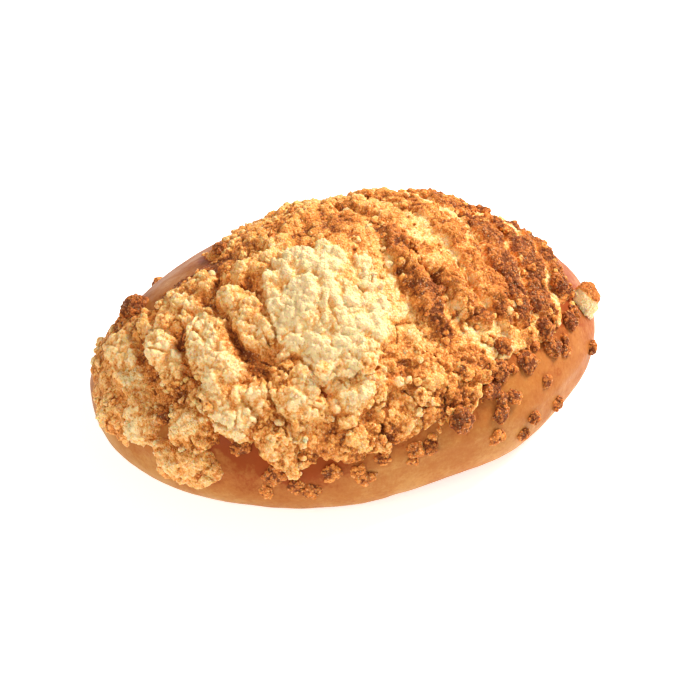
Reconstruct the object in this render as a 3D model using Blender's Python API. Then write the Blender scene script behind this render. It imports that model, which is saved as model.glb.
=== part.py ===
"""A streusel bun: an oval yeast bun baked under a thick crust of streusel, as one solid.

Metres, +Z up and +X along the bun. The origin is the middle of its footprint, on the surface it rests on.
The dough is a superellipsoid with a flat foot. The streusel lies on it as slabs that cracked apart across the
bun while it rose, with loose crumbs baked on between them and down the sides.
"""

import math
import random
from typing import NamedTuple

import bmesh
import bpy
from mathutils import Vector, noise

MM = 0.001

# The dough
LENGTH = 137 * MM
WIDTH = 96 * MM
HEIGHT = 57 * MM
BELLY_HEIGHT = 19 * MM  # where the bun is widest
DOME_POWER = 1.48  # 2 would be an ellipse: less is more peaked
FOOT_POWER = 3.4  # more is squarer, so the flat foot is wider
FOOT_DEPTH = 1.1 * BELLY_HEIGHT  # the underside is cut flat above this depth
DOUGH_SWELL = 0.9 * MM
SWELL_SIZE = 26 * MM

# The streusel
SLAB_POWER = 2.6  # a slab's outline, between an ellipse and a rectangle
EDGE_WIDTH = 1.9 * MM  # over which a slab rises to its full thickness
EDGE_WANDER = 2.2 * MM  # how far noise pushes an outline about
WANDER_SIZE = 7 * MM
WANDER_SHIFTS = (Vector((0, 0, 0)), Vector((31, 0, 0)), Vector((0, 47, 0)))  # for its x, y and z
CLUMP_SIZE = 5.2 * MM
CLUMP_DEPTH = 1.5 * MM
CRUMB_SIZES = (2.8 * MM, 5.2 * MM)
CRUMB_LIFT = 0.0  # share of a crumb's size between its middle and the surface that it sits in
CRUMB_ROUGHNESS = 0.3
SEED = 7

# Mesh density
BODY_SUBDIVISIONS = 6
BODY_TRIANGLES = 6900
FOOT_SNAP = 0.05 * MM
FINE_CRUMB = 4.6 * MM  # from this size a crumb has four times the faces
CAST_FROM = 20 * MM


class Slab(NamedTuple):
    """A patch of streusel, by its middle on the dome, its size, its turn from +X and its thickness, in mm and degrees."""

    x: float
    y: float
    length: float
    width: float
    turn: float
    thickness: float


class Crumb(NamedTuple):
    """A lump of streusel on the side: its place along the bun, its height, +1 on the far side or -1 on the near, its size."""

    x: float
    z: float
    side: int
    size: float


# Thin cover that the thicker slabs stand on.
COVER = (
    Slab(16, 0, 88, 74, 0, 1.5),
    Slab(-27, -9, 60, 48, 2, 1.0),
    Slab(4, -30, 50, 30, -6, 1.4),
    Slab(-60, 2, 42, 24, 86, 1.1),
)
# Ribs that parted along cracks across the bun, from its left end to its right.
RIBS = (
    Slab(-59.8, 1.5, 20, 8.5, 82, 3.4),
    Slab(-51.3, -8, 23, 8, 84, 4.8),
    Slab(-42.2, -20, 34, 12.5, 83, 5.2),
    Slab(-42, 4, 20, 11, 12, 3.4),
    Slab(-52, 5, 12, 8, 60, 3.2),
    Slab(-32, -10, 24, 8, 100, 4.4),
    Slab(-25, 1, 24, 10, 8, 3.6),
    Slab(11, -17, 34, 7.5, 97, 4.2),
    Slab(20, -19, 30, 8, 114, 4.0),
    Slab(27, -8, 54, 8, 110, 4.0),
    Slab(37, -12, 42, 7.5, 98, 3.8),
    Slab(32, 16, 24, 8, 108, 3.2),
    Slab(46, -8, 38, 8, 93, 3.6),
    Slab(54, -5, 26, 7, 96, 3.2),
    Slab(-9, 12, 22, 10, 14, 3.2),
    Slab(8, 10, 26, 9, 118, 3.6),
    Slab(18, 18, 24, 9, 112, 3.2),
    Slab(-20, 9, 22, 9, 26, 2.6),
    Slab(-1, 26, 24, 11, -6, 2.4),
    Slab(20, 34, 18, 9, -16, 2.6),
)
# The pale plate over the middle, and the slabs below it on the near side.
PLATES = (
    Slab(-13.5, -19.5, 34, 29, 90, 4.8),
    Slab(-27, -32, 16, 14, 70, 4.2),
    Slab(-35, -30, 14, 8, 100, 4.0),
    Slab(-34.3, -37.8, 15, 7.5, 103, 3.2),
    Slab(-12, -37.5, 16, 11, 20, 3.6),
    Slab(-15, -44, 17, 8.5, -22, 2.8),
    Slab(-3, -43, 13, 8, 10, 2.4),
    Slab(8, -40, 20, 13, -40, 3.4),
    Slab(18, -37, 14, 10, -30, 3.0),
    Slab(-51.2, -24.6, 15, 10.5, 70, 4.0),
    Slab(-61.9, -14.8, 13, 9, 70, 3.6),
    Slab(-66.9, -7, 12, 8, 85, 2.2),
    Slab(-55.3, -28.2, 18, 10, -34, 3.2),
    Slab(-27.5, -40, 11, 5.5, 90, 2.2),
    Slab(-15, -41.5, 48, 16, -3, 1.3),
)
# Browned lumps that stand clear of the slabs.
LUMPS = (
    Crumb(25.6, 31.5, -1, 6.2),
    Crumb(22.2, 28.8, -1, 6.6),
    Crumb(34.8, 29.6, -1, 6.4),
    Crumb(45.3, 28.0, -1, 5.4),
    Crumb(42.6, 32.4, -1, 6.0),
    Crumb(53.1, 28.5, -1, 5.6),
    Crumb(42.1, 36.8, -1, 7.2),
    Crumb(52, 34, -1, 5.6),
    Crumb(54, 32, 1, 5.2),
    Crumb(45, 38, 1, 5.0),
    Crumb(36, 44, 1, 5.4),
    Crumb(28, 35, -1, 5.0),
    Crumb(11.1, 26.0, -1, 6.6),
    Crumb(2.9, 21.4, -1, 5.4),
    Crumb(-0.8, 21.6, -1, 4.7),
    Crumb(-9.6, 21.6, -1, 4.4),
    Crumb(-15.9, 19.1, -1, 4.6),
    Crumb(-22.7, 19.7, -1, 4.6),
    Crumb(-27.4, 14.5, -1, 5.2),
    Crumb(-31.4, 16.2, -1, 4.5),
    Crumb(-42.1, 26.1, -1, 5.0),
    Crumb(-56.6, 28.2, -1, 5.2),
    Crumb(23.6, 22.6, -1, 4.8),
    Crumb(34.1, 16.8, -1, 4.5),
    Crumb(30.7, 13.3, -1, 4.4),
    Crumb(59.5, 18.5, -1, 5.0),
    Crumb(-51.5, 33.5, 1, 7.6),
    Crumb(-28, 45.5, 1, 4.6),
    Crumb(38.5, 43.5, 1, 4.8),
    Crumb(58, 26, 1, 5.4),
    Crumb(60.5, 26.5, -1, 9.0),
    Crumb(-37.9, 14.4, -1, 4.4),
    Crumb(-35.8, 19.7, -1, 5.8),
    Crumb(44, 14.2, -1, 4.6),
    Crumb(-7, 49.5, 1, 4.8),
)
# Smaller crumbs, strewn by a rule: how many, between which heights, and where along the bun.
STREWN = (
    (12, (24, 36), (24, 60)),
    (12, (14, 24), (-56, 50)),
    (20, (24, 42), (-58, 60)),
)


def clear_scene():
    for obj in list(bpy.data.objects):
        bpy.data.objects.remove(obj)


def smooth_step(value):
    value = min(max(value, 0.0), 1.0)
    return value * value * (3 - 2 * value)


def on_dough(point):
    """Where the ray from the middle of the belly through point meets the dough, and the outward normal there."""
    offset = point - Vector((0, 0, BELLY_HEIGHT))
    upper = offset.z >= 0
    power = DOME_POWER if upper else FOOT_POWER
    depth = HEIGHT - BELLY_HEIGHT if upper else FOOT_DEPTH
    around = math.hypot(offset.x / (LENGTH / 2), offset.y / (WIDTH / 2))
    rise = abs(offset.z) / depth
    offset = offset * (around**power + rise**power) ** (-1 / power)
    around = math.hypot(offset.x / (LENGTH / 2), offset.y / (WIDTH / 2))
    flow = max(around, 1e-9) ** (power - 2)
    normal = Vector(
        (
            flow * offset.x / (LENGTH / 2) ** 2,
            flow * offset.y / (WIDTH / 2) ** 2,
            math.copysign((abs(offset.z) / depth) ** (power - 1) / depth, offset.z),
        )
    ).normalized()
    return offset + Vector((0, 0, BELLY_HEIGHT)), normal


def on_dome(x, y):
    """The dough's surface straight above a place in the plan."""
    around = math.hypot(x / (LENGTH / 2), y / (WIDTH / 2))
    rise = max(1 - around**DOME_POWER, 0) ** (1 / DOME_POWER)
    return on_dough(Vector((x, y, BELLY_HEIGHT + rise * (HEIGHT - BELLY_HEIGHT))))


def on_side(x, z, side):
    """The dough's surface at a place along the bun and a height, on its near or far side."""
    upper = z >= BELLY_HEIGHT
    power = DOME_POWER if upper else FOOT_POWER
    depth = HEIGHT - BELLY_HEIGHT if upper else FOOT_DEPTH
    reach = (1 - (abs(z - BELLY_HEIGHT) / depth) ** power) ** (1 / power)
    across = math.sqrt(max(reach**2 - (x / (LENGTH / 2)) ** 2, 0))
    return on_dough(Vector((x, side * across * WIDTH / 2, z)))


def slab_frame(slab):
    """The slab's middle, its long and short directions along the surface, and its normal."""
    middle, normal = on_dome(slab.x * MM, slab.y * MM)
    turn = math.radians(slab.turn)
    wrap = Vector((0, 0, 1)).rotation_difference(normal)
    along = wrap @ Vector((math.cos(turn), math.sin(turn), 0))
    return middle, along, normal.cross(along), normal


def clumps(point):
    """Rounded clumps with creases between them, from 0 in a crease to 1 on a clump."""
    distance = noise.voronoi(point / CLUMP_SIZE)[0][0]
    return max(1 - distance**2 * 1.6, 0)


def streusel_thickness(point, slabs):
    """How thick the streusel lies over a point of the dough."""
    place = point / WANDER_SIZE
    moved = point + EDGE_WANDER * Vector([noise.noise(place + shift) for shift in WANDER_SHIFTS])
    thickness = 0.0
    for slab, (middle, along, across, normal) in slabs:
        offset = moved - middle
        if abs(offset.dot(normal)) > slab.length * MM:
            continue
        u = abs(offset.dot(along)) / (slab.length * MM / 2)
        v = abs(offset.dot(across)) / (slab.width * MM / 2)
        reach = (u**SLAB_POWER + v**SLAB_POWER) ** (1 / SLAB_POWER)
        inside = (1 - reach) * slab.width * MM / 2
        thickness = max(thickness, slab.thickness * MM * smooth_step(inside / EDGE_WIDTH + 0.5))
    if thickness > 0:
        cover = min(thickness / (2 * MM), 1)
        thickness += CLUMP_DEPTH * cover * (clumps(point) - 0.5)
    return thickness


def make_body(collection):
    """The dough with its slabs of streusel, as one closed surface pushed out from the dough's own."""
    body = bmesh.new()
    bmesh.ops.create_icosphere(body, subdivisions=BODY_SUBDIVISIONS, radius=1)
    slabs = [(slab, slab_frame(slab)) for slab in COVER + RIBS + PLATES]
    stretch = Vector((LENGTH / 2, WIDTH / 2, HEIGHT - BELLY_HEIGHT))
    for vert in body.verts:
        point, normal = on_dough(vert.co * stretch + Vector((0, 0, BELLY_HEIGHT)))
        swell = DOUGH_SWELL * noise.noise(point / SWELL_SIZE)
        vert.co = point + normal * (swell + streusel_thickness(point, slabs))
    mesh = bpy.data.meshes.new("streusel_bun")
    body.to_mesh(mesh)
    triangles = len(body.faces)
    body.free()
    bun = bpy.data.objects.new("streusel_bun", mesh)
    collection.objects.link(bun)
    thin = bun.modifiers.new("facets", "DECIMATE")
    thin.ratio = BODY_TRIANGLES / triangles
    apply_modifiers(bun)
    cut_foot(bun)
    return bun


def cut_foot(bun):
    """Cuts the underside flat at z = 0."""
    body = bmesh.new()
    body.from_mesh(bun.data)
    geometry = body.verts[:] + body.edges[:] + body.faces[:]
    cut = bmesh.ops.bisect_plane(
        body, geom=geometry, dist=FOOT_SNAP, plane_co=(0, 0, 0), plane_no=(0, 0, -1), clear_outer=True
    )
    for vert in body.verts:
        if vert.co.z < FOOT_SNAP:
            vert.co.z = 0
    rim = [item for item in cut["geom_cut"] if isinstance(item, bmesh.types.BMEdge)]
    foot = bmesh.ops.contextual_create(body, geom=rim)["faces"]
    bmesh.ops.triangulate(body, faces=foot)
    bmesh.ops.recalc_face_normals(body, faces=body.faces[:])
    body.to_mesh(bun.data)
    body.free()


def crumb_places():
    """Every crumb's place on the dough, the normal there, its size and the number that seeds its shape."""
    rng = random.Random(SEED)
    places = [(*on_side(lump.x * MM, lump.z * MM, lump.side), lump.size * MM) for lump in LUMPS]
    for count, heights, lengths in STREWN:
        for index in range(count):
            share = (index + rng.random()) / count
            x = (lengths[0] + share * (lengths[1] - lengths[0])) * MM
            z = rng.uniform(*heights) * MM
            size = rng.uniform(*CRUMB_SIZES)
            side = 1 if index % 2 else -1
            reach = math.sqrt(max(1 - (x / (LENGTH / 2)) ** 2, 0))
            places.append((*on_side(x, z, side), size * (0.7 + 0.3 * reach)))
    return [(*place, number) for number, place in enumerate(places)]


def surface_out(bun, point, normal):
    """The bun's outer surface along the normal at a point of the dough."""
    hit, place, _, _ = bun.ray_cast(point + normal * CAST_FROM, -normal)
    return place if hit else point


def make_crumb(bun, point, normal, size, number, collection):
    """One rough lump, sunk into the surface that it was baked on."""
    rng = random.Random(number)
    drift = Vector([rng.uniform(-50, 50) for _ in range(3)])
    squash = Vector([rng.uniform(0.8, 1.15) for _ in range(3)])
    middle = surface_out(bun, point, normal) + normal * size * CRUMB_LIFT
    lump = bmesh.new()
    bmesh.ops.create_icosphere(lump, subdivisions=1 if size < FINE_CRUMB else 2, radius=size / 2)
    for vert in lump.verts:
        rough = 1 + CRUMB_ROUGHNESS * noise.noise(vert.co * 3.2 / size + drift)
        vert.co = vert.co * squash * rough + middle
    mesh = bpy.data.meshes.new(f"crumb_{number}")
    lump.to_mesh(mesh)
    lump.free()
    collection.objects.link(bpy.data.objects.new(f"crumb_{number}", mesh))


def apply_modifiers(obj):
    """Replaces the object's mesh with what its modifiers make of it."""
    graph = bpy.context.evaluated_depsgraph_get()
    made = bpy.data.meshes.new_from_object(obj.evaluated_get(graph))
    obj.modifiers.clear()
    obj.data = made


def fuse(bun, collection):
    """Joins every crumb to the bun in one union, then removes the crumbs' own objects."""
    union = bun.modifiers.new("baked_on", "BOOLEAN")
    union.operation = "UNION"
    union.operand_type = "COLLECTION"
    union.collection = collection
    union.solver = "MANIFOLD"
    apply_modifiers(bun)
    for crumb in list(collection.objects):
        bpy.data.objects.remove(crumb)
    bpy.data.collections.remove(collection)


def centre(bun):
    """Moves the bun's mesh so that the middle of its footprint's box is at the origin."""
    places = [vert.co for vert in bun.data.vertices]
    middle = [(min(place[i] for place in places) + max(place[i] for place in places)) / 2 for i in (0, 1)]
    for vert in bun.data.vertices:
        vert.co -= Vector((*middle, 0))


def crust_material():
    material = bpy.data.materials.new("baked_streusel")
    material.use_nodes = True
    shader = material.node_tree.nodes["Principled BSDF"]
    shader.inputs["Base Color"].default_value = (0.72, 0.4, 0.14, 1)
    shader.inputs["Roughness"].default_value = 0.75
    return material


def main():
    clear_scene()
    parts = bpy.data.collections.new("streusel_bun")
    crumbs = bpy.data.collections.new("crumbs")
    for collection in (parts, crumbs):
        bpy.context.scene.collection.children.link(collection)
    bun = make_body(parts)
    bpy.context.view_layer.update()
    for place in crumb_places():
        make_crumb(bun, *place, crumbs)
    fuse(bun, crumbs)
    centre(bun)
    bun.data.materials.append(crust_material())
    bun.data.shade_smooth()


main()
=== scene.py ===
"""A streusel bun: smooth baked dough under a cracked crust of streusel, with browned crumbs baked onto it.

Metres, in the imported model's frame: +X along the bun, +Z up, and the pale plate of streusel on the -Y side.
The dough, the slabs of streusel and the crumbs lie where the solid has them. The crust is a fine sheet,
pushed out from the dough by the thickness of the slabs and by rounded clumps on clumps.
"""

import math
import random
from itertools import product
from typing import NamedTuple

import bmesh
import bpy
import numpy as np
from bpy.props import FloatProperty, FloatVectorProperty, PointerProperty
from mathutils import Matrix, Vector, noise


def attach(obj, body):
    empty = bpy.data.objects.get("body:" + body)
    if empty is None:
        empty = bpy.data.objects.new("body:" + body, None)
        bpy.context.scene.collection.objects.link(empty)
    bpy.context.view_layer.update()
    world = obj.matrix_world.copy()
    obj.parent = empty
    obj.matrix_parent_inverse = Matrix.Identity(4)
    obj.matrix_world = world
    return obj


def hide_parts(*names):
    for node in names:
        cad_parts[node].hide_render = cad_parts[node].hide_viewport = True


bl_info = {
    "name": "Streusel Bun",
    "version": (1, 0, 0),
    "blender": (4, 5, 0),
    "location": "View3D > Sidebar > Streusel Bun",
    "description": "Makes a streusel bun, its crust, its crumbs and a plain stage for it",
    "category": "Add Mesh",
}

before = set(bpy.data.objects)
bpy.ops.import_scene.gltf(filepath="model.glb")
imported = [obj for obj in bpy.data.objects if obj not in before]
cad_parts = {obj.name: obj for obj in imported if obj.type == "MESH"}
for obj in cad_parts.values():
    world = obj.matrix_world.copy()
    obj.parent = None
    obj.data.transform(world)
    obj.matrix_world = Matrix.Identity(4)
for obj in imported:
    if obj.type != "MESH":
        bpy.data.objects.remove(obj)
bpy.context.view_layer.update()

MM = 0.001
NODE = "streusel_bun"

# The dough, as in the solid.
LENGTH = 137 * MM
WIDTH = 96 * MM
HEIGHT = 57 * MM
BELLY_HEIGHT = 19 * MM  # where the bun is widest
DOME_POWER = 1.48  # 2 would be an ellipse: less is more peaked
FOOT_POWER = 3.4  # more is squarer, so the flat foot is wider
FOOT_DEPTH = 1.1 * BELLY_HEIGHT
DOUGH_SWELL = 0.9 * MM
SWELL_SIZE = 26 * MM
CENTRING = np.array((0.963, 0.171, 0.0)) * MM  # from the bun's own middle to the middle of its box

# The streusel, as in the solid.
SLAB_POWER = 2.6
EDGE_WIDTH = 1.9 * MM
TINT_EDGE = 0.26  # share of a slab's width over which its colour gives way to its neighbour's
SEAM_FROM = 2.1  # mm: thinner slabs have none
SEAM_WIDTH = 1.5 * MM  # of the crease where two slabs of like thickness meet
SEAM_SHARE = 0.42  # its depth as a share of their thickness
CROWN = 0.3  # share of a slab's thickness that it gains from its edge to its middle
EDGE_WANDER = 2.2 * MM
WANDER_SIZE = 7 * MM
WANDER_SHIFTS = (Vector((0, 0, 0)), Vector((31, 0, 0)), Vector((0, 47, 0)))
CLUMP_SIZE = 5.2 * MM
CLUMP_DEPTH = 1.5 * MM
CRUMB_SIZES = (2.8 * MM, 5.2 * MM)
SEED = 7

# What the sheet adds to the solid's slabs.
FRAY = ((2.6 * MM, 1.0 * MM), (1.3 * MM, 0.6 * MM), (0.65 * MM, 0.3 * MM))  # edges' crumbs: size and reach
BIG_CLUMPS = 0.7  # share of the solid's clumps that the sheet keeps
CLUMPS = ((3.2 * MM, 1.2 * MM), (1.4 * MM, 0.75 * MM), (0.7 * MM, 0.42 * MM))  # size and depth
CLUMP_WARP = (3.5 * MM, 0.6 * MM)  # size and reach
GRAIN_WARP = (1.4 * MM, 0.25 * MM)
TUCK = 0.3 * MM  # how far a slab's thin edge dips into the dough
CRACK_CELL = 8 * MM
CRACK_WIDTH = 0.07
CRACK_DEPTH = 0.9 * MM
PORE_CELL = 1.7 * MM
PORE_DEPTH = 0.55 * MM

# Crumbs and lumps.
CRUMB_CLUMPS = ((2.4 * MM, 0.8 * MM), (1.3 * MM, 0.6 * MM), (0.75 * MM, 0.35 * MM))  # size and depth
FLATNESS = 0.78  # a crumb's height as a share of its width
DARK_FLAKE = 26  # the lump that burnt
TORN = 30  # the lump that is a torn flake of crumb
TORN_LIFT = 0.12
TORN_SHAPE = (0.85, 0.7, 1.15)
LOOSE_COUNT = 420
LOOSE_SIZES = (1.0 * MM, 2.1 * MM)
LOOSE_LIFT = -0.12
GRAIN = 1550.0  # grains to the metre

GRID = (700, 520)  # cells along and across the crust's sheet
REACH = math.radians(118)  # how far the sheet reaches down from the top
PIECE_LIMIT = 96_000  # quads in a piece of crust


class Slab(NamedTuple):
    """A patch of streusel: its middle on the dome, size and thickness in mm, its turn from +X in degrees."""

    x: float
    y: float
    length: float
    width: float
    turn: float
    thickness: float


class Crumb(NamedTuple):
    """A lump on the side: its place along the bun, its height, +1 far or -1 near, and its size, in mm."""

    x: float
    z: float
    side: int
    size: float


class Glow(NamedTuple):
    """A soft spot that is browner, or paler below zero: mm, degrees and the amount. Most were browned by the
    oven; some are painted shade.
    """

    x: float
    y: float
    length: float
    width: float
    turn: float
    amount: float


COVER = (
    Slab(16, 0, 88, 74, 0, 1.5),
    Slab(-27, -9, 60, 48, 2, 1.0),
    Slab(4, -30, 50, 30, -6, 1.4),
    Slab(-60, 2, 42, 24, 86, 1.1),
)
RIBS = (
    Slab(-59.8, 1.5, 20, 8.5, 82, 3.4),
    Slab(-51.3, -8, 23, 8, 84, 4.8),
    Slab(-42.2, -20, 34, 12.5, 83, 5.2),
    Slab(-42, 4, 20, 11, 12, 3.4),
    Slab(-52, 5, 12, 8, 60, 3.2),
    Slab(-32, -10, 24, 8, 100, 4.4),
    Slab(-25, 1, 24, 10, 8, 3.6),
    Slab(11, -17, 34, 7.5, 97, 4.2),
    Slab(20, -19, 30, 8, 114, 4.0),
    Slab(27, -8, 54, 8, 110, 4.0),
    Slab(37, -12, 42, 7.5, 98, 3.8),
    Slab(32, 16, 24, 8, 108, 3.2),
    Slab(46, -8, 38, 8, 93, 3.6),
    Slab(54, -5, 26, 7, 96, 3.2),
    Slab(-9, 12, 22, 10, 14, 3.2),
    Slab(8, 10, 26, 9, 118, 3.6),
    Slab(18, 18, 24, 9, 112, 3.2),
    Slab(-20, 9, 22, 9, 26, 2.6),
    Slab(-1, 26, 24, 11, -6, 2.4),
    Slab(20, 34, 18, 9, -16, 2.6),
)
PLATES = (
    Slab(-13.5, -19.5, 34, 29, 90, 4.8),
    Slab(-27, -32, 16, 14, 70, 4.2),
    Slab(-35, -30, 14, 8, 100, 4.0),
    Slab(-34.3, -37.8, 15, 7.5, 103, 3.2),
    Slab(-12, -37.5, 16, 11, 20, 3.6),
    Slab(-15, -44, 17, 8.5, -22, 2.8),
    Slab(-3, -43, 13, 8, 10, 2.4),
    Slab(8, -40, 20, 13, -40, 3.4),
    Slab(18, -37, 14, 10, -30, 3.0),
    Slab(-51.2, -24.6, 15, 10.5, 70, 4.0),
    Slab(-61.9, -14.8, 13, 9, 70, 3.6),
    Slab(-66.9, -7, 12, 8, 85, 2.2),
    Slab(-55.3, -28.2, 18, 10, -34, 3.2),
    Slab(-27.5, -40, 11, 5.5, 90, 2.2),
    Slab(-15, -41.5, 48, 16, -3, 1.3),
)
LUMPS = (
    Crumb(25.6, 31.5, -1, 6.2),
    Crumb(22.2, 28.8, -1, 6.6),
    Crumb(34.8, 29.6, -1, 6.4),
    Crumb(45.3, 28.0, -1, 5.4),
    Crumb(42.6, 32.4, -1, 6.0),
    Crumb(53.1, 28.5, -1, 5.6),
    Crumb(42.1, 36.8, -1, 7.2),
    Crumb(52, 34, -1, 5.6),
    Crumb(54, 32, 1, 5.2),
    Crumb(45, 38, 1, 5.0),
    Crumb(36, 44, 1, 5.4),
    Crumb(28, 35, -1, 5.0),
    Crumb(11.1, 26.0, -1, 6.6),
    Crumb(2.9, 21.4, -1, 5.4),
    Crumb(-0.8, 21.6, -1, 4.7),
    Crumb(-9.6, 21.6, -1, 4.4),
    Crumb(-15.9, 19.1, -1, 4.6),
    Crumb(-22.7, 19.7, -1, 4.6),
    Crumb(-27.4, 14.5, -1, 5.2),
    Crumb(-31.4, 16.2, -1, 4.5),
    Crumb(-42.1, 26.1, -1, 5.0),
    Crumb(-56.6, 28.2, -1, 5.2),
    Crumb(23.6, 22.6, -1, 4.8),
    Crumb(34.1, 16.8, -1, 4.5),
    Crumb(30.7, 13.3, -1, 4.4),
    Crumb(59.5, 18.5, -1, 5.0),
    Crumb(-51.5, 33.5, 1, 7.6),
    Crumb(-28, 45.5, 1, 4.6),
    Crumb(38.5, 43.5, 1, 4.8),
    Crumb(58, 26, 1, 5.4),
    Crumb(60.5, 26.5, -1, 9.0),
    Crumb(-37.9, 14.4, -1, 4.4),
    Crumb(-35.8, 19.7, -1, 5.8),
    Crumb(44, 14.2, -1, 4.6),
    Crumb(-7, 49.5, 1, 4.8),
)
STREWN = (
    (12, (24, 36), (24, 60)),
    (12, (14, 24), (-56, 50)),
    (20, (24, 42), (-58, 60)),
)
# How brown each patch is, from 0 for pale to 1 for burnt, in the order of the tables above.
BAKES = (0.44, 0.72, 0.46, 0.42)
BAKES += (0.22, 0.32, 0.29, 0.32, 0.48, 0.42, 0.46, 0.76, 0.5, 0.5, 0.6, 0.54, 0.66, 0.68, 0.46, 0.5, 0.5)
BAKES += (0.5, 0.44, 0.54)
BAKES += (0.17, 0.36, 0.4, 0.32, 0.28, 0.36, 0.42, 0.42, 0.54, 0.32, 0.28, 0.32, 0.32, 0.3, 0.42)
# Spots that are browner than their patch, or paler. The four along the grooves between the left fingers are
# partly the dough's own brown and partly painted shade; the one over the pit is painted shade.
BROWNING_AND_SHADE = (
    Glow(5, -20, 30, 6, 92, -0.26),
    Glow(-41, -30, 9, 8, 0, -0.07),
    Glow(-50, -17, 9, 9, 0, 0.2),
    # the next four lie along the grooves between the left fingers: partly the dough's own brown, partly
    # painted shade
    Glow(-40.5, -25, 12, 5, 80, 0.2),
    Glow(-37, -12, 30, 5, 98, 0.24),
    Glow(-47, -14, 26, 4, 84, 0.2),
    Glow(-56, -5, 22, 4, 84, 0.16),
    # painted shade in the pit
    Glow(0, 4, 9, 7, 0, 0.34),
    Glow(-4, -31, 8, 7, 0, 0.22),
    Glow(-28, -26, 12, 6, 60, 0.2),
    Glow(11, -42, 8, 7, 0, 0.2),
    Glow(-22, -42, 8, 6, 0, 0.22),
    Glow(-8, -44, 8, 5, 0, 0.2),
    Glow(14, -26, 16, 7, 100, 0.2),
    Glow(-30, 34, 60, 16, 10, 0.14),
    Glow(40, 24, 40, 30, 0, 0.1),
)


def smooth(values):
    values = np.clip(values, 0, 1)
    return values * values * (3 - 2 * values)


# Noise

NEIGHBOURS = [np.array(step, dtype=np.float32) for step in product((-1, 0, 1), repeat=3)]
CORNERS = [np.array(step, dtype=np.float32) for step in product((0, 1), repeat=3)]
WHOLE = 0xFFFFFFFF


def scatter(cells, seed):
    """Three even random numbers from 0 to 1 for each cell of the lattice, and a fourth of its own."""
    cells = cells.astype(np.int64)
    mixed = (cells[:, 0] * 73856093) ^ (cells[:, 1] * 19349663) ^ (cells[:, 2] * 83492791) ^ (seed * 97)
    mixed = ((mixed & WHOLE) ^ ((mixed & WHOLE) >> 15)) * 2246822519 & WHOLE
    mixed = (mixed ^ (mixed >> 13)) * 3266489917 & WHOLE
    mixed ^= mixed >> 16
    spread = np.stack([(mixed >> shift) & 1023 for shift in (0, 10, 20)], axis=1).astype(np.float32) / 1024
    return spread, ((mixed >> 5) & 1023).astype(np.float32) / 1024


def cells(points, size, seed=0):
    """Distances to the nearest two scattered points, in cells, and the nearest one's number."""
    scaled = (points / size).astype(np.float32)
    base = np.floor(scaled)
    first = np.full(len(points), 9, dtype=np.float32)
    second = first.copy()
    own = np.zeros(len(points), dtype=np.float32)
    for step in NEIGHBOURS:
        cell = base + step
        spread, number = scatter(cell, seed)
        away = ((cell + spread - scaled) ** 2).sum(axis=1)
        closer = away < first
        second = np.where(closer, first, np.minimum(second, away))
        own = np.where(closer, number, own)
        first = np.where(closer, away, first)
    return np.sqrt(first), np.sqrt(second), own


def rounded(away):
    """Rounded clumps from distances to their middles in cells: 0 in a crease and 1 on a clump."""
    return np.clip(1 - 1.5 * away**2, 0, 1)


def drift(points, size, seed=0):
    """Smooth noise from -1 to 1, one column for each direction."""
    scaled = (points / size).astype(np.float32)
    base = np.floor(scaled)
    share = smooth(scaled - base)
    total = np.zeros((len(points), 3), dtype=np.float32)
    for corner in CORNERS:
        weight = np.prod(np.where(corner > 0, share, 1 - share), axis=1)
        total += weight[:, None] * scatter(base + corner, seed)[0]
    return total * 2 - 1


def mottle(points, size, seed=0):
    return drift(points, size, seed)[:, 0]


# The dough's shape and the streusel's thickness


def on_dough(points):
    """Where rays from the belly's middle through the points meet the dough, and the outward normals there."""
    offset = points - np.array((0, 0, BELLY_HEIGHT))
    upper = offset[:, 2] >= 0
    power = np.where(upper, DOME_POWER, FOOT_POWER)
    depth = np.where(upper, HEIGHT - BELLY_HEIGHT, FOOT_DEPTH)
    half = np.array((LENGTH / 2, WIDTH / 2))
    around = np.hypot(*(offset[:, :2] / half).T)
    rise = np.abs(offset[:, 2]) / depth
    offset = offset * ((around**power + rise**power) ** (-1 / power))[:, None]
    around = np.hypot(*(offset[:, :2] / half).T)
    flow = np.maximum(around, 1e-9) ** (power - 2)
    steep = np.copysign((np.abs(offset[:, 2]) / depth) ** (power - 1) / depth, offset[:, 2])
    normals = np.column_stack((flow[:, None] * offset[:, :2] / half**2, steep))
    normals /= np.linalg.norm(normals, axis=1)[:, None]
    return offset + np.array((0, 0, BELLY_HEIGHT)), normals


def on_dome(x, y):
    """The dough's surface straight above a place in the plan."""
    around = math.hypot(x / (LENGTH / 2), y / (WIDTH / 2))
    rise = max(1 - around**DOME_POWER, 0) ** (1 / DOME_POWER)
    points, normals = on_dough(np.array([(x, y, BELLY_HEIGHT + rise * (HEIGHT - BELLY_HEIGHT))]))
    return points[0], normals[0]


def on_side(x, z, side):
    """The dough's surface at a place along the bun and a height, on its near or far side."""
    upper = z >= BELLY_HEIGHT
    power = DOME_POWER if upper else FOOT_POWER
    depth = HEIGHT - BELLY_HEIGHT if upper else FOOT_DEPTH
    reach = (1 - (abs(z - BELLY_HEIGHT) / depth) ** power) ** (1 / power)
    across = math.sqrt(max(reach**2 - (x / (LENGTH / 2)) ** 2, 0))
    points, normals = on_dough(np.array([(x, side * across * WIDTH / 2, z)]))
    return points[0], normals[0]


def turned(middle, normal, turn):
    """The two directions along the surface of something that lies on it, turned from +X."""
    wrap = Vector((0, 0, 1)).rotation_difference(Vector(normal))
    along = np.array(wrap @ Vector((math.cos(turn), math.sin(turn), 0)))
    return along, np.cross(normal, along)


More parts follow.
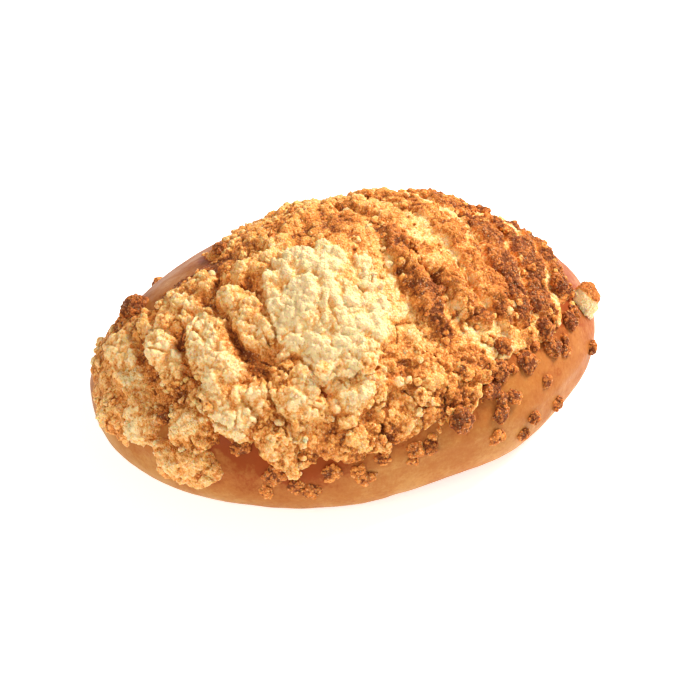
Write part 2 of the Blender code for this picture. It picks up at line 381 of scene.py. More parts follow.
def slabs_over(points):
    """How thick the slabs lie over points of the dough, how brown they are, and how deep their seams."""
    places = [Vector(place) for place in (points / WANDER_SIZE).tolist()]
    wander = [[noise.noise(place + shift) for place in places] for shift in WANDER_SHIFTS]
    moved = points + np.array(wander).T * EDGE_WANDER
    for number, (size, reach) in enumerate(FRAY):
        moved = moved + drift(points, size, 11 + number) * reach
    thickness = np.zeros(len(points))
    share = np.full(len(points), 1e-9)
    brown = share * BAKES[0]
    first = np.full(len(points), -1.0)
    second = first.copy()
    for slab, bake in zip(COVER + RIBS + PLATES, BAKES, strict=True):
        middle, normal = on_dome(slab.x * MM, slab.y * MM)
        along, across = turned(middle, normal, math.radians(slab.turn))
        offset = moved - middle
        u = np.abs(offset @ along) / (slab.length * MM / 2)
        v = np.abs(offset @ across) / (slab.width * MM / 2)
        inside = (1 - (u**SLAB_POWER + v**SLAB_POWER) ** (1 / SLAB_POWER)) * slab.width * MM / 2
        rise = slab.thickness * MM * smooth(inside / EDGE_WIDTH + 0.5)
        rise = rise * (1 + CROWN * (smooth(inside / (slab.width * MM / 2)) - 0.5))
        rise[np.abs(offset @ normal) > slab.length * MM] = 0
        thickness = np.maximum(thickness, rise)
        weight = (slab.thickness * smooth(inside / (TINT_EDGE * slab.width * MM) + 0.5)) ** 3
        weight[rise == 0] *= 0.2
        share += weight
        brown += weight * bake
        if slab.thickness > SEAM_FROM:
            inside[rise == 0] = -1
            second = np.maximum(second, np.minimum(first, inside))
            first = np.maximum(first, inside)
    seam = np.exp(-(((first - second) / SEAM_WIDTH) ** 2)) * smooth(second / (1.5 * MM) + 0.6)
    return thickness, brown / share, seam


def swell_of(points):
    return DOUGH_SWELL * np.array([noise.noise(place) for place in (points / SWELL_SIZE).tolist()])


def browning_and_shade_of(points):
    """How much browner the spots make the crust at points of the dough, from the oven and, in the grooves and
    the pit, from painted shade.
    """
    total = np.zeros(len(points))
    for spot in BROWNING_AND_SHADE:
        middle, normal = on_dome(spot.x * MM, spot.y * MM)
        along, across = turned(middle, normal, math.radians(spot.turn))
        offset = points - middle
        u = offset @ along / (spot.length * MM / 2)
        v = offset @ across / (spot.width * MM / 2)
        w = offset @ normal / (20 * MM)
        total += spot.amount * np.exp(-((u * u + v * v) ** 1.5) - w * w)
    return total


# Meshes and materials


def make_object(name, mesh, material):
    mesh.materials.append(material)
    piece = bpy.data.objects.new(name, mesh)
    bpy.context.scene.collection.objects.link(piece)
    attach(piece, "root")
    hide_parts(NODE)
    return piece


def make_mesh(name, points, faces, **values):
    """A smooth mesh with one attribute for each named row of values."""
    mesh = bpy.data.meshes.new(name)
    mesh.from_pydata(points + CENTRING, [], faces)
    for key, row in values.items():
        mesh.attributes.new(key, "FLOAT", "POINT").data.foreach_set("value", row.astype(np.float32))
    mesh.update()
    mesh.shade_smooth()
    return mesh


def add_node(tree, kind, inputs=(), **settings):
    """A node with its settings, and its inputs set to values or linked to sockets."""
    node = tree.nodes.new(kind)
    for key, value in settings.items():
        setattr(node, key, value)
    for key, value in dict(inputs).items():
        if isinstance(value, bpy.types.NodeSocket):
            tree.links.new(value, node.inputs[key])
        else:
            node.inputs[key].default_value = value
    return node


def maths(tree, operation, *values):
    return add_node(tree, "ShaderNodeMath", enumerate(values), operation=operation).outputs[0]


def spread_out(tree, value, low, high, to_low=0.0, to_high=1.0):
    """The value's share of the way from low to high, as a number between two others."""
    node = add_node(tree, "ShaderNodeMapRange", interpolation_type="SMOOTHSTEP")
    tree.links.new(value, node.inputs["Value"])
    for key, number in zip(("From Min", "From Max", "To Min", "To Max"), (low, high, to_low, to_high)):
        node.inputs[key].default_value = number
    return node.outputs["Result"]


def add_noise(tree, place, scale, detail, roughness):
    inputs = {"Vector": place, "Scale": scale, "Detail": detail, "Roughness": roughness}
    return add_node(tree, "ShaderNodeTexNoise", inputs).outputs["Fac"]


def add_bump(tree, height, strength, distance):
    inputs = {"Height": height, "Strength": strength, "Distance": distance}
    return add_node(tree, "ShaderNodeBump", inputs).outputs["Normal"]


def mix_colours(tree, share, first, second):
    node = add_node(tree, "ShaderNodeMix", data_type="RGBA")
    for key, value in ((0, share), (6, first), (7, second)):
        if isinstance(value, bpy.types.NodeSocket):
            tree.links.new(value, node.inputs[key])
        elif key == 0:
            node.inputs[key].default_value = value
        else:
            node.inputs[key].default_value = (*value[:3], 1)
    return node.outputs[2]


def new_group(name, inputs, outputs):
    """An empty shader group with named sockets, its tree and its two end nodes."""
    tree = bpy.data.node_groups.new(name, "ShaderNodeTree")
    for direction, sockets in (("INPUT", inputs), ("OUTPUT", outputs)):
        for key, kind in sockets:
            tree.interface.new_socket(key, in_out=direction, socket_type=kind)
    return tree, tree.nodes.new("NodeGroupInput"), tree.nodes.new("NodeGroupOutput")


def baked_colour_group():
    """Turns how brown a place is, with any painted shade added, into a colour, through five colours from pale
    to burnt.
    """
    stages = (("Golden", 0.1, 0.4), ("Amber", 0.38, 0.62), ("Browned", 0.58, 0.82), ("Burnt", 0.84, 1.08))
    names = ["Pale"] + [name for name, _, _ in stages]
    inputs = [("Browning_And_Shade", "NodeSocketFloat")] + [(name, "NodeSocketColor") for name in names]
    tree, start, end = new_group("Baked Colour", inputs, [("Color", "NodeSocketColor")])
    colour = start.outputs["Pale"]
    for name, low, high in stages:
        share = spread_out(tree, start.outputs["Browning_And_Shade"], low, high)
        colour = mix_colours(tree, share, colour, start.outputs[name])
    tree.links.new(colour, end.inputs["Color"])
    return tree


def grain_group():
    """Sandy grain: a height for bumps, a mottle from grain to grain with painted shade in the gaps between
    grains, and a mask of pale grains of sugar.
    """
    inputs = [("Scale", "NodeSocketFloat")]
    outputs = [(name, "NodeSocketFloat") for name in ("Height", "Mottle_And_Gap_Shade", "Sugar")]
    tree, start, end = new_group("Sandy Grain", inputs, outputs)
    place = add_node(tree, "ShaderNodeTexCoord").outputs["Object"]
    scale = start.outputs["Scale"]
    sand = add_noise(tree, place, scale, 3.0, 0.7)
    fine = maths(tree, "MULTIPLY", scale, 1.3)
    grit = add_node(tree, "ShaderNodeTexVoronoi", {"Vector": place, "Scale": fine}, feature="F1")
    pick = add_node(tree, "ShaderNodeSeparateColor", {"Color": grit.outputs["Color"]})
    near = spread_out(tree, grit.outputs["Distance"], 0.5, 0.3)
    sugar = maths(tree, "MULTIPLY", near, spread_out(tree, pick.outputs[0], 0.8, 0.86))
    gaps = maths(tree, "MULTIPLY", grit.outputs["Distance"], 0.8)
    rise = maths(tree, "SUBTRACT", sand, gaps)
    own = maths(tree, "MULTIPLY", maths(tree, "SUBTRACT", pick.outputs[1], 0.5), 0.32)
    # painted shade: the gaps between grains add to the mottle, so they brown and darken
    shade = maths(tree, "ADD", maths(tree, "ADD", sand, own), maths(tree, "MULTIPLY", gaps, 0.35))
    tree.links.new(rise, end.inputs["Height"])
    tree.links.new(shade, end.inputs["Mottle_And_Gap_Shade"])
    tree.links.new(sugar, end.inputs["Sugar"])
    return tree


def use_group(tree, name, maker, inputs):
    """A group node in the material's tree. The group itself is built once."""
    node = tree.nodes.new("ShaderNodeGroup")
    node.node_tree = bpy.data.node_groups.get(name) or maker()
    for key, value in inputs.items():
        if isinstance(value, bpy.types.NodeSocket):
            tree.links.new(value, node.inputs[key])
        elif isinstance(value, float):
            node.inputs[key].default_value = value
        else:
            node.inputs[key].default_value = (*value[:3], 1)
    return node


def new_material(name):
    material = bpy.data.materials.new(name)
    material.use_nodes = True
    return material, material.node_tree, material.node_tree.nodes["Principled BSDF"]


def streusel_material(name, colours, grain_scale, lift):
    """Sandy baked streusel, coloured by how brown it baked, with painted shade darkening it down in its
    creases and in the gaps between its grains.
    """
    if name in bpy.data.materials:
        return bpy.data.materials[name]
    material, tree, shader = new_material(name)
    bake = add_node(tree, "ShaderNodeAttribute", attribute_name="bake").outputs["Fac"]
    relief = add_node(tree, "ShaderNodeAttribute", attribute_name="relief").outputs["Fac"]
    grain = use_group(tree, "Sandy Grain", grain_group, {"Scale": grain_scale})
    baked = spread_out(tree, bake, 0.02, 0.42, 0.65, 1.0)
    # the grain's mottle, with its painted shade in the gaps between grains
    fine = maths(tree, "MULTIPLY", maths(tree, "SUBTRACT", grain.outputs["Mottle_And_Gap_Shade"], 0.62), 0.64)
    # painted shade: browner, so darker, where the relief is low, down in creases, cracks and pores
    crease = spread_out(tree, relief, 0.6, 0.1, 0.0, 0.44)
    fine = maths(tree, "MULTIPLY", fine, baked)
    crease = maths(tree, "MULTIPLY", crease, baked)
    browning_and_shade = maths(tree, "ADD", maths(tree, "ADD", bake, fine), maths(tree, "ADD", crease, lift))
    palette = {
        "Browning_And_Shade": browning_and_shade,
        "Pale": colours.pale,
        "Golden": colours.golden,
        "Amber": colours.amber,
        "Browned": colours.browned,
        "Burnt": colours.burnt,
    }
    colour = use_group(tree, "Baked Colour", baked_colour_group, palette).outputs["Color"]
    colour = mix_colours(tree, maths(tree, "MULTIPLY", grain.outputs["Sugar"], 0.24), colour, (1, 0.82, 0.5))
    tree.links.new(colour, shader.inputs["Base Color"])
    rough = spread_out(tree, grain.outputs["Sugar"], 0.0, 1.0, 0.72, 0.22)
    tree.links.new(rough, shader.inputs["Roughness"])
    bump = add_bump(tree, grain.outputs["Height"], 1.0, 0.42 * MM)
    tree.links.new(bump, shader.inputs["Normal"])
    shader.inputs["Subsurface Weight"].default_value = 0.5
    shader.inputs["Subsurface Radius"].default_value = (1.0, 0.42, 0.15)
    shader.inputs["Subsurface Scale"].default_value = 1.1 * MM
    shader.inputs["Specular IOR Level"].default_value = 0.22
    return material


def dough_material(colours):
    """Smooth baked dough: pale low down, partly as a painted reflection of the white floor, browned higher
    up, with a fine skin and faint blisters.
    """
    name = "baked_dough"
    if name in bpy.data.materials:
        return bpy.data.materials[name]
    material, tree, shader = new_material(name)
    bake = add_node(tree, "ShaderNodeAttribute", attribute_name="bake").outputs["Fac"]
    place = add_node(tree, "ShaderNodeTexCoord").outputs["Object"]
    cloud = add_noise(tree, place, 120.0, 6.0, 0.62)
    speck = add_noise(tree, place, 1000.0, 3.0, 0.7)
    spots = maths(tree, "MULTIPLY", maths(tree, "SUBTRACT", speck, 0.5), 0.6)
    clouds = maths(tree, "MULTIPLY", maths(tree, "SUBTRACT", cloud, 0.5), 0.95)
    browning_and_shade = maths(tree, "ADD", bake, maths(tree, "ADD", spots, clouds))
    golden = spread_out(tree, browning_and_shade, 0.0, 0.45)
    brown = spread_out(tree, browning_and_shade, 0.4, 0.85)
    colour = mix_colours(tree, golden, colours.dough_pale, colours.dough_golden)
    colour = mix_colours(tree, brown, colour, colours.dough_brown)
    tree.links.new(colour, shader.inputs["Base Color"])
    tree.links.new(spread_out(tree, cloud, 0.3, 0.7, 0.42, 0.58), shader.inputs["Roughness"])
    bump = add_bump(tree, add_noise(tree, place, 900.0, 4.0, 0.6), 0.4, 0.28 * MM)
    tree.links.new(bump, shader.inputs["Normal"])
    shader.inputs["Subsurface Weight"].default_value = 0.12
    shader.inputs["Subsurface Radius"].default_value = (1.0, 0.45, 0.2)
    shader.inputs["Subsurface Scale"].default_value = 1.2 * MM
    shader.inputs["Specular IOR Level"].default_value = 0.1
    return material


class BUN_PG_colours(bpy.types.PropertyGroup):
    """The colours that the oven gave the bun."""

    def tint(label, text, value):  # noqa: N805
        return FloatVectorProperty(name=label, description=text, default=value, subtype="COLOR", min=0, max=1)

    pale: tint("Pale streusel", "Streusel that hardly browned", (0.94, 0.71, 0.38))
    golden: tint("Golden streusel", "Streusel baked just right", (0.92, 0.5, 0.165))
    amber: tint("Amber streusel", "Streusel baked a little longer", (0.78, 0.29, 0.06))
    browned: tint("Browned streusel", "Streusel on the hot side of the oven", (0.5, 0.155, 0.027))
    burnt: tint("Burnt streusel", "The darkest crumbs", (0.2, 0.05, 0.01))
    dough_pale: tint("Pale dough", "Dough near the foot", (0.5, 0.235, 0.06))
    dough_golden: tint("Golden dough", "Dough on the sides", (0.4, 0.138, 0.03))
    dough_brown: tint("Brown dough", "Dough where the oven reached it most", (0.27, 0.05, 0.007))


class BUN_PG_stage(bpy.types.PropertyGroup):
    """The camera's place and the light."""

    turn: FloatProperty(
        name="Turn", description="Camera's turn around the bun", default=math.radians(-22), unit="ROTATION"
    )
    height: FloatProperty(
        name="Height", description="Camera's angle above the floor", default=math.radians(39), unit="ROTATION"
    )
    distance: FloatProperty(
        name="Distance", description="From the camera to the bun", default=0.65, min=0.1, unit="LENGTH"
    )
    lens: FloatProperty(
        name="Lens", description="Focal length in millimetres", default=131.9, min=10, unit="CAMERA"
    )
    key: FloatProperty(
        name="Key light", description="Power of the main soft light", default=14.0, min=0, unit="POWER"
    )
    fill: FloatProperty(
        name="Fill light", description="Power of the soft light opposite", default=4.2, min=0, unit="POWER"
    )
    room: FloatProperty(
        name="Room light", description="Strength of the light from all around", default=0.27, min=0
    )


class BUN_OT_dough(bpy.types.Operator):
    """Make the bun's dough"""

    bl_idname = "bun.dough"
    bl_label = "Make Dough"

    def execute(self, context):
        ball = bmesh.new()
        bmesh.ops.create_icosphere(ball, subdivisions=7, radius=1)
        spread = np.array([vert.co for vert in ball.verts])
        stretch = np.array((LENGTH / 2, WIDTH / 2, HEIGHT - BELLY_HEIGHT))
        points, normals = on_dough(spread * stretch + np.array((0, 0, BELLY_HEIGHT)))
        skin = 0.12 * MM * mottle(points, 5 * MM, 3) + 0.05 * MM * mottle(points, 1.9 * MM, 4)
        points = points + normals * (swell_of(points) + skin)[:, None]
        for vert, place in zip(ball.verts, points.tolist(), strict=True):
            vert.co = place
        geometry = ball.verts[:] + ball.edges[:] + ball.faces[:]
        cut = bmesh.ops.bisect_plane(
            ball, geom=geometry, dist=0.02 * MM, plane_co=(0, 0, 0), plane_no=(0, 0, -1), clear_outer=True
        )
        for vert in ball.verts:
            if vert.co.z < 0.05 * MM:
                vert.co.z = 0
        rim = [item for item in cut["geom_cut"] if isinstance(item, bmesh.types.BMEdge)]
        foot = bmesh.ops.contextual_create(ball, geom=rim)["faces"]
        bmesh.ops.triangulate(ball, faces=foot)
        bmesh.ops.recalc_face_normals(ball, faces=ball.faces[:])
        mesh = bpy.data.meshes.new("dough")
        ball.to_mesh(mesh)
        ball.free()
        places = np.empty(len(mesh.vertices) * 3)
        mesh.vertices.foreach_get("co", places)
        places = places.reshape(-1, 3)
        bake = self.browning_and_shade(places)
        mesh.vertices.foreach_set("co", (places + CENTRING).ravel())
        mesh.attributes.new("bake", "FLOAT", "POINT").data.foreach_set("value", bake.astype(np.float32))
        mesh.shade_smooth()
        make_object("dough", mesh, dough_material(context.scene.bun_colours))
        return {"FINISHED"}

    @staticmethod
    def browning_and_shade(points):
        """Pale at the foot, partly as a painted reflection of the white floor, golden on the sides, brown
        near the top and where the crust parted, and browner just under the streusel's edge, partly as painted
        shade.
        """
        height = points[:, 2] / HEIGHT
        dough, normals = on_dough(points)
        above = slabs_over(on_dough(dough + np.array((0, 0, 4 * MM)) - normals * MM)[0])[0]
        parted = np.exp(-(((points[:, 0] + 40 * MM) / (20 * MM)) ** 2))
        # paler low down: the oven browns the top more, and the paleness near the floor is partly a painted
        # reflection of the white floor
        bake = 0.16 + 0.44 * smooth(height / 0.7) - 0.16 * smooth((-25 * MM - points[:, 0]) / (20 * MM))
        # browner just under the streusel's edge: partly the dough's own colour, partly painted shade under
        # the overhang
        bake += (0.14 + 0.3 * parted) * smooth(above / (2 * MM)) * smooth((height - 0.2) / 0.22)
        bake += 0.12 * smooth((points[:, 0] - 30 * MM) / (30 * MM)) * smooth(height / 0.5)
        bake += 0.4 * parted * np.exp(-(((height - 0.35) / 0.2) ** 2))
        bake += 0.12 * mottle(points, 14 * MM, 5)
        return bake + 0.9 * np.exp(-points[:, 2] / (0.8 * MM))


class BUN_OT_crust(bpy.types.Operator):
    """Make the crust of streusel"""

    bl_idname = "bun.crust"
    bl_label = "Make Crust"

    def execute(self, context):
        columns, rows = GRID
        u, v = np.meshgrid(np.linspace(-1, 1, columns + 1), np.linspace(-1, 1, rows + 1))
        flat_x = (u * np.sqrt(1 - v * v / 2)).ravel()
        flat_y = (v * np.sqrt(1 - u * u / 2)).ravel()
        radius = np.hypot(flat_x, flat_y)
        slope = np.maximum(radius, 1e-9)
        down = radius * REACH
        rays = np.column_stack(
            (
                np.sin(down) * flat_x / slope * LENGTH / 2,
                np.sin(down) * flat_y / slope * WIDTH / 2,
                np.cos(down) * (HEIGHT - BELLY_HEIGHT) + BELLY_HEIGHT,
            )
        )
        points, normals = on_dough(rays)
        thickness, brown, seam = slabs_over(points)
        out, relief = self.relief(points, thickness)
        out -= SEAM_SHARE * thickness * seam
        brown = brown + 0.14 * seam
        places = points + normals * (swell_of(points) + out)[:, None]
        grains, raised = self.grains(places, thickness)
        places = places + self.outward(places, normals) * grains[:, None]
        relief = np.clip(relief + raised, 0, 1)
        bake = self.browning_and_shade(points, thickness, brown, relief)
        grid = np.arange((rows + 1) * (columns + 1)).reshape(rows + 1, columns + 1)
        corners = (grid[:-1, :-1], grid[:-1, 1:], grid[1:, 1:], grid[1:, :-1])
        faces = np.column_stack([corner.ravel() for corner in corners])
        faces = faces[(thickness[faces] > 0.05 * MM).any(axis=1)]
        material = streusel_material("golden_streusel", context.scene.bun_colours, GRAIN, -0.08)
        order = np.argsort(points[faces[:, 0], 0], kind="stable")
        parts = math.ceil(len(faces) / PIECE_LIMIT)
        for number, picked in enumerate(np.array_split(order, parts)):
            used, renumbered = np.unique(faces[np.sort(picked)], return_inverse=True)
            quads = renumbered.reshape(-1, 4)
            name = f"crust_{number}"
            mesh = make_mesh(name, places[used], quads, bake=bake[used], relief=relief[used])
            make_object(name, mesh, material)
        return {"FINISHED"}

    @staticmethod
    def relief(points, thickness):
        """How far the sheet stands out from the dough, and from 0 in creases to 1 on clumps."""
        near = np.array([noise.voronoi(place)[0][0] for place in (points / CLUMP_SIZE).tolist()])
        clump = np.maximum(1 - 1.6 * near**2, 0)
        cover = np.clip(thickness / (2 * MM), 0, 1)
        out = thickness + BIG_CLUMPS * CLUMP_DEPTH * cover * (clump - 0.5)
        warped = points + CLUMP_WARP[1] * drift(points, CLUMP_WARP[0], 21)
        size, depth = CLUMPS[0]
        near, _, own = cells(warped, size, 31)
        height = rounded(near) * (0.45 + 0.75 * own)
        out += depth * (0.15 + 0.85 * cover) * (height - 0.45)
        first, second, _ = cells(warped, CRACK_CELL, 41)
        crack = (1 - smooth((second - first) / CRACK_WIDTH)) * smooth(3 * mottle(points, 4 * MM, 42) - 0.2)
        out -= cover * CRACK_DEPTH * crack
        out -= TUCK + 0.5 * MM * (1 - smooth(thickness / (0.8 * MM)))
        return out, 0.2 * clump + 0.3 * height - 0.5 * crack

    @staticmethod
    def grains(places, thickness):
        """The finer clumps and the pores, along the sheet's own normals, so that steep edges crumble too."""
        cover = np.clip(thickness / (2 * MM), 0, 1)
        patches = smooth(2.2 * mottle(places, 5 * MM, 44)) * cover
        crumbly = np.maximum(smooth((thickness / MM - 1.3) / 1.6), patches)
        out = np.zeros(len(places))
        relief = np.zeros(len(places))
        warped = places + GRAIN_WARP[1] * drift(places, GRAIN_WARP[0], 22)
        for number, (size, depth) in enumerate(CLUMPS[1:]):
            near, _, own = cells(warped, size, 32 + number)
            height = np.clip(1 - 1.35 * near, 0, 1) ** 0.8 * (0.3 + 1.1 * own)
            out += depth * (0.15 + 0.85 * crumbly) * (height - 0.3)
            relief += (0.35, 0.3)[number] * height
        near, _, own = cells(places, PORE_CELL, 43)
        pore = (1 - smooth((near - 0.06) / 0.24)) * (own > 0.58)
        return out - cover * PORE_DEPTH * pore, relief - 0.3 * pore

    @staticmethod
    def outward(places, normals):
        """The sheet's own normals, from its neighbouring points."""
        columns, rows = GRID
        sheet = places.reshape(rows + 1, columns + 1, 3)
        facing = np.cross(np.gradient(sheet, axis=1), np.gradient(sheet, axis=0)).reshape(-1, 3)
        facing /= np.maximum(np.linalg.norm(facing, axis=1), 1e-12)[:, None]
        facing *= np.sign((facing * normals).sum(axis=1))[:, None]
        return facing

    @staticmethod
    def browning_and_shade(points, thickness, brown, relief):
        """The patch's own brown with the spots, darker at its thin edges on the left, partly as painted shade
        in the grooves, paler on its thick crests on the left as a painted highlight and, on the right, darker
        on its crests.
        """
        bake = brown + browning_and_shade_of(points)
        right = smooth((points[:, 0] - 4 * MM) / (30 * MM))
        bake += 0.1 * mottle(points, 9 * MM, 51) + 0.11 * mottle(points, 3.4 * MM, 52)
        bake += 0.08 * mottle(points, 1.2 * MM, 53) + 0.04 * right
        # darker where the streusel is thin on the left: partly its own colour, partly painted shade in the
        # grooves between the fingers
        left = smooth((points[:, 0] / MM + 66) / 12) * (points[:, 0] < 0)
        bake += 0.16 * left * (1 - smooth(thickness / (2.2 * MM)))
        ridge = smooth((thickness / MM - 1.7) / 1.6) - 0.5
        rim = smooth((38 * MM - points[:, 2]) / (8 * MM))
        bake += right * (0.3 * (relief - 0.44) + 0.4 * ridge - 0.06 + 0.24 * rim)
        bake += 0.5 * right * (bake - 0.5)
        # painted highlight: thick crests on the left are paler
        crest = smooth((thickness / MM - 2.6) / 1.8) - 0.5
        return np.clip(bake - 0.16 * (1 - right) * crest, 0.32 * right, 1)


def crumb_places():
    """Every crumb's place on the dough, the normal there, its size and its number, as in the solid."""
    rng = random.Random(SEED)
    places = [(*on_side(lump.x * MM, lump.z * MM, lump.side), lump.size * MM) for lump in LUMPS]
    for count, heights, lengths in STREWN:
        for index in range(count):
            share = (index + rng.random()) / count
            x = (lengths[0] + share * (lengths[1] - lengths[0])) * MM
            z = rng.uniform(*heights) * MM
            size = rng.uniform(*CRUMB_SIZES)
            side = 1 if index % 2 else -1
            reach = math.sqrt(max(1 - (x / (LENGTH / 2)) ** 2, 0))
            places.append((*on_side(x, z, side), size * (0.7 + 0.3 * reach)))
    return places


def ball_of(subdivisions):
    ball = bmesh.new()
    bmesh.ops.create_icosphere(ball, subdivisions=subdivisions, radius=1)
    points = np.array([vert.co for vert in ball.verts])
    faces = np.array([[vert.index for vert in face.verts] for face in ball.faces])
    ball.free()
    return points, faces


def surface_of(places):
    """Thickness of the streusel over places on the dough, with the dough's own swell."""
    return slabs_over(places)[0] + swell_of(places)


def crumb_mesh(name, places, normals, sizes, subdivisions, bakes, seed, lift=0.0, flat=FLATNESS):
    """Rough crumbs as one mesh: clumps on clumps, squashed onto what they were baked on and sunk into it."""
    ball, faces = ball_of(subdivisions)
    rng = np.random.default_rng(seed)
    middles = places + normals * (surface_of(places) + sizes * lift)[:, None]
    squash = rng.uniform(0.85, 1.2, (len(places), 1, 3))
    points = (ball[None] * squash * sizes[:, None, None] / 2).reshape(-1, 3)
    flat = np.broadcast_to(flat, len(places))
    facing = np.repeat(normals, len(ball), axis=0)
    points -= facing * ((points * facing).sum(axis=1) * (1 - np.repeat(flat, len(ball))))[:, None]
    away = np.repeat(rng.uniform(-1, 1, (len(places), 3)), len(ball), axis=0)
    span = np.repeat(sizes, len(ball))
    seeds = points + away
    seeds = seeds + drift(seeds, 1.8 * MM, seed + 1) * 0.3 * MM
    relief = np.zeros(len(points))
    rough = np.full(len(points), 0.86)
    for number, (size, depth) in enumerate(CRUMB_CLUMPS):
        near, _, own = cells(seeds, size, seed + 2 + number)
        height = rounded(near) * (0.5 + 0.7 * own)
        rough += depth * 2 * (height - 0.4) / span
        relief += (0.3, 0.4, 0.3)[number] * height
    points = points * rough[:, None] + np.repeat(middles, len(ball), axis=0)
    points[:, 2] = np.maximum(points[:, 2], 0.02 * MM)
    relief = np.clip(relief, 0, 1)
    # painted shade down in the creases and a painted highlight on the clumps' tops
    bake = np.repeat(bakes, len(ball)) + 0.16 * mottle(points, 2 * MM, seed + 5) - 0.2 * (relief - 0.4)
    numbers = (faces[None] + (np.arange(len(places)) * len(ball))[:, None, None]).reshape(-1, 3)
    return make_mesh(name, points, numbers, bake=np.clip(bake, 0, 1), relief=relief)


class BUN_OT_lumps(bpy.types.Operator):
    """Make the browned lumps and the crumbs strewn between them"""

    bl_idname = "bun.lumps"
    bl_label = "Make Lumps"

    def execute(self, context):
        found = crumb_places()
        points = np.array([place for place, _, _ in found])
        normals = np.array([normal for _, normal, _ in found])
        sizes = np.array([size for _, _, size in found])
        colours = context.scene.bun_colours
        burnt = streusel_material("browned_streusel", colours, GRAIN, 0.0)
        count = len(LUMPS)
        bakes = 0.86 + 0.12 * mottle(points, 15 * MM, 61) + 0.06 * smooth(points[:, 0] / (20 * MM))
        low = smooth((24 * MM - points[:, 2]) / (4 * MM)) * smooth((20 * MM - points[:, 0]) / (10 * MM))
        flat = FLATNESS - 0.34 * low
        bakes -= 0.1 * low + 0.06 * (points[:, 0] < 0)
        bakes[DARK_FLAKE] = 1.0
        lumps = np.arange(len(found)) < count
        lumps[TORN] = False
        name = "browned_lumps"
        chosen = (points[lumps], normals[lumps], sizes[lumps])
        mesh = crumb_mesh(name, *chosen, 5, bakes[lumps], 71, flat=flat[lumps])
        make_object(name, mesh, burnt)
        rest = slice(count, None)
        thickness, brown, _ = slabs_over(points[rest])
        on_top = smooth(thickness / MM - 0.8)
        bakes[rest] += on_top * (brown + browning_and_shade_of(points[rest]) + 0.12 - bakes[rest])
        name = "browned_crumbs"
        mesh = crumb_mesh(name, points[rest], normals[rest], sizes[rest], 4, bakes[rest] - 0.08, 81)
        make_object(name, mesh, burnt)
        return {"FINISHED"}


class BUN_OT_torn(bpy.types.Operator):
    """Make the torn flake at the end of the bun, pale inside with a brown skin along its top"""

    bl_idname = "bun.torn"
    bl_label = "Make Torn Flake"

    def execute(self, context):
        place, normal, size = crumb_places()[TORN]
        ball, faces = ball_of(6)
        middle = place + normal * (surface_of(place[None])[0] + size * TORN_LIFT)
        shape = np.array(TORN_SHAPE)
        points = ball * shape * size / 2
        for number, (grain, depth) in enumerate(CRUMB_CLUMPS):
            near, _, own = cells(points, grain * 1.3, 90 + number)
            height = rounded(near) * (0.4 + 0.8 * own)
            points = points + ball * (depth * (height - 0.4))[:, None]
        skin = smooth((ball[:, 2] * 0.8 + ball[:, 0] * 0.6 - 0.26 + 0.3 * mottle(points, 2 * MM, 95)) / 0.3)
        points = points + ball * (0.35 * MM * skin)[:, None] + middle
        bake = 0.04 + 0.12 * mottle(points, 1.6 * MM, 96) + 0.74 * skin
        relief = np.full(len(points), 0.5)
        mesh = make_mesh("torn_flake", points, faces, bake=np.clip(bake, 0, 1), relief=relief)
        material = streusel_material("pale_crumb", context.scene.bun_colours, GRAIN, 0.0)
        make_object("torn_flake", mesh, material)
        return {"FINISHED"}


class BUN_OT_loose(bpy.types.Operator):
    """Make the small loose crumbs that lie on the crust"""

    bl_idname = "bun.loose"
    bl_label = "Make Loose Crumbs"

    def execute(self, context):
        rng = np.random.default_rng(SEED)
        tries = LOOSE_COUNT * 4
        turn = rng.uniform(0, math.tau, tries)
        reach = np.sqrt(rng.uniform(0, 1, tries)) * 0.985
        rise = np.maximum(1 - reach**DOME_POWER, 0) ** (1 / DOME_POWER) * (HEIGHT - BELLY_HEIGHT)
        rays = np.column_stack(
            (reach * np.cos(turn) * LENGTH / 2, reach * np.sin(turn) * WIDTH / 2, rise + BELLY_HEIGHT)
        )
        points, normals = on_dough(rays)
        thickness, brown, _ = slabs_over(points)
        above, _, _ = slabs_over(on_dough(points + np.array((0, 0, 4 * MM)) - normals * MM)[0])
        edge = (thickness > 0.6 * MM) & (thickness < 3.6 * MM) & (brown > 0.3)
        below = (thickness <= 0.6 * MM) & (above > 0.9 * MM) & (rng.uniform(0, 1, tries) < 0.75)
        picked = np.nonzero(edge | below)[0][:LOOSE_COUNT]
        points, normals = points[picked], normals[picked]
        bakes = brown[picked] + browning_and_shade_of(points) + rng.uniform(-0.08, 0.16, len(points))
        bakes = np.where(below[picked], np.maximum(bakes, 0.3) + 0.2, bakes)
        sizes = rng.uniform(*LOOSE_SIZES, len(points))
        material = streusel_material("golden_streusel", context.scene.bun_colours, GRAIN, -0.08)
        mesh = crumb_mesh("loose_crumbs", points, normals, sizes, 3, bakes, 101, LOOSE_LIFT)
        make_object("loose_crumbs", mesh, material)
        return {"FINISHED"}


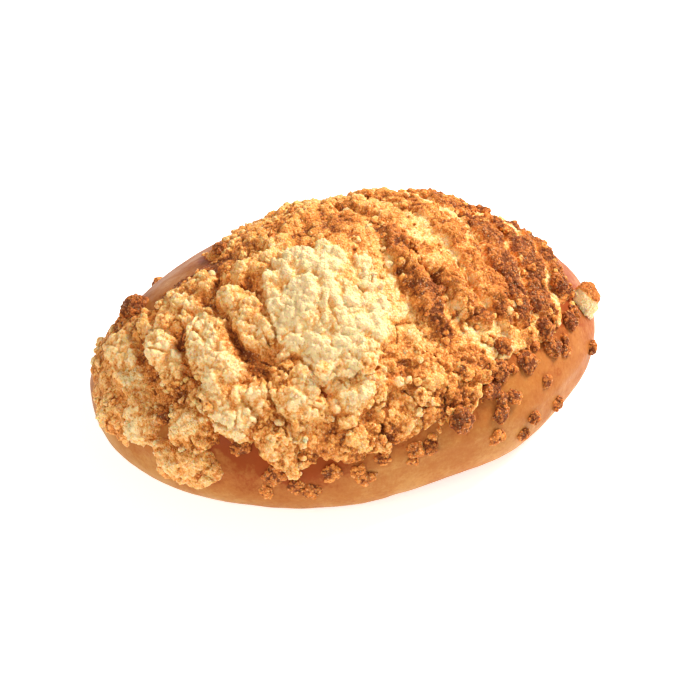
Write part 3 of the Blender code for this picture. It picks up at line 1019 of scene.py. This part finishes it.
class BUN_OT_stage(bpy.types.Operator):
    """Make the floor, the light and the camera"""

    bl_idname = "bun.stage"
    bl_label = "Make Stage"

    def execute(self, context):
        stage = context.scene.bun_stage
        self.floor()
        self.lights(stage)
        self.camera(context.scene, stage)
        context.scene.view_settings.view_transform = "Standard"
        return {"FINISHED"}

    @staticmethod
    def floor():
        mesh = bpy.data.meshes.new("floor")
        ring = [(2.5 * math.cos(math.tau * i / 96), 2.5 * math.sin(math.tau * i / 96), 0) for i in range(96)]
        mesh.from_pydata(ring, [], [tuple(range(96))])
        material, tree, shader = new_material("studio_floor")
        place = add_node(tree, "ShaderNodeTexCoord").outputs["Object"]
        paper = add_node(tree, "ShaderNodeTexNoise", {"Vector": place, "Scale": 900.0, "Detail": 2.0})
        colour = mix_colours(tree, paper.outputs["Fac"], (0.93, 0.93, 0.93), (0.95, 0.95, 0.95))
        tree.links.new(colour, shader.inputs["Base Color"])
        shader.inputs["Roughness"].default_value = 0.9
        shader.inputs["Specular IOR Level"].default_value = 0.2
        shader.inputs["Emission Color"].default_value = (0.96, 0.98, 1, 1)
        shader.inputs["Emission Strength"].default_value = 0.62
        mesh.materials.append(material)
        floor = bpy.data.objects.new("floor", mesh)
        bpy.context.scene.collection.objects.link(floor)

    @staticmethod
    def lights(stage):
        world = bpy.data.worlds.new("soft_room")
        bpy.context.scene.world = world
        world.use_nodes = True
        room = world.node_tree.nodes["Background"]
        room.inputs["Color"].default_value = (1, 0.95, 0.88, 1)
        room.inputs["Strength"].default_value = stage.room
        rigs = (
            ("key", stage.key, 0.3, (0.6, 0.08, 0.64), (1, 0.96, 0.9)),
            ("fill", stage.fill, 0.4, (-0.6, -0.55, 0.6), (1, 0.95, 0.87)),
        )
        for name, power, size, place, colour in rigs:
            light = bpy.data.lights.new(name, "AREA")
            light.energy = power
            light.size = size
            light.color = colour
            lamp = bpy.data.objects.new(name, light)
            lamp.location = place
            lamp.rotation_euler = (Vector((0, 0, 0.03)) - Vector(place)).to_track_quat("-Z", "Y").to_euler()
            bpy.context.scene.collection.objects.link(lamp)

    @staticmethod
    def camera(scene, stage):
        aim = Vector((-3.0, -2.4, 23.8)) * MM + Vector(CENTRING)
        across, up = math.cos(stage.height), math.sin(stage.height)
        back = Vector((math.sin(stage.turn) * across, -math.cos(stage.turn) * across, up))
        lens = bpy.data.cameras.new("camera")
        lens.sensor_width = 36
        lens.lens = stage.lens
        camera = bpy.data.objects.new("camera", lens)
        camera.location = aim + back * stage.distance
        camera.rotation_euler = back.to_track_quat("Z", "Y").to_euler()
        scene.collection.objects.link(camera)
        scene.camera = camera


class BUN_PT_panel(bpy.types.Panel):
    """The bun's pieces and settings"""

    bl_idname = "BUN_PT_panel"
    bl_label = "Streusel Bun"
    bl_space_type = "VIEW_3D"
    bl_region_type = "UI"
    bl_category = "Streusel Bun"

    def draw(self, context):
        layout = self.layout
        for group in (context.scene.bun_colours, context.scene.bun_stage):
            box = layout.box()
            for key in group.bl_rna.properties.keys():
                if key not in ("rna_type", "name"):
                    box.prop(group, key)
        for operator in OPERATORS:
            layout.operator(operator.bl_idname)


OPERATORS = (BUN_OT_dough, BUN_OT_crust, BUN_OT_lumps, BUN_OT_torn, BUN_OT_loose, BUN_OT_stage)
CLASSES = (BUN_PG_colours, BUN_PG_stage, *OPERATORS, BUN_PT_panel)


def register():
    for item in CLASSES:
        bpy.utils.register_class(item)
    bpy.types.Scene.bun_colours = PointerProperty(type=BUN_PG_colours)
    bpy.types.Scene.bun_stage = PointerProperty(type=BUN_PG_stage)


def unregister():
    del bpy.types.Scene.bun_stage
    del bpy.types.Scene.bun_colours
    for item in reversed(CLASSES):
        bpy.utils.unregister_class(item)


def main():
    register()
    bpy.ops.bun.dough()
    bpy.ops.bun.crust()
    bpy.ops.bun.lumps()
    bpy.ops.bun.torn()
    bpy.ops.bun.loose()
    bpy.ops.bun.stage()


if __name__ == "__main__":
    main()
